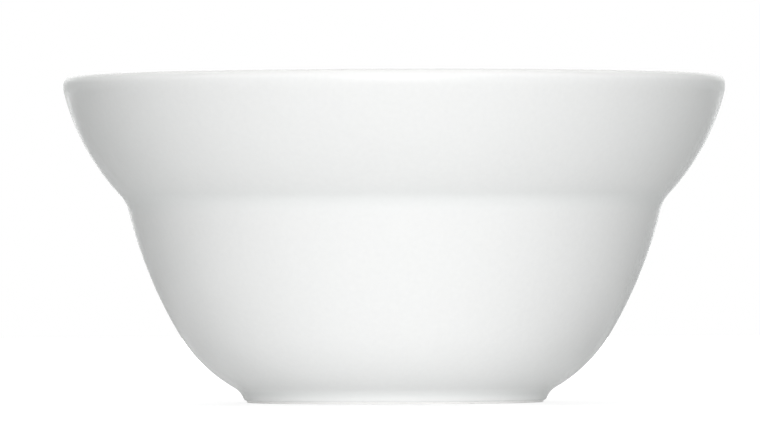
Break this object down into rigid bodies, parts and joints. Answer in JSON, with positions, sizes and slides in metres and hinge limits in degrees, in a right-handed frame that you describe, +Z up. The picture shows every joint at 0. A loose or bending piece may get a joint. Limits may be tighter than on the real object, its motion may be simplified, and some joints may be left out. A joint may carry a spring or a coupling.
{
  "type": "soup cup",
  "caption": "White glazed porcelain soup cup without handles: flared collar above a soft crease, rounded bowl and low foot ring, to hold a portion of hot soup.",
  "frame": {"origin": "centre of the standing ring, on the surface that the cup stands on", "axes": "+Z up along the cup's axis, +X and +Y across it; the cup is round, so neither is preferred"},
  "size_m": [0.12, 0.12, 0.0593],
  "materials": {
    "bisque": "bare fired porcelain, matte, polished smooth where the cup stands",
    "glaze": "clear gloss glaze over white porcelain"
  },
  "bodies": {
    "root": {"porcelain_body": "bisque", "glaze_coat": "glaze", "recess_glaze": "glaze"}
  },
  "joints": []
}
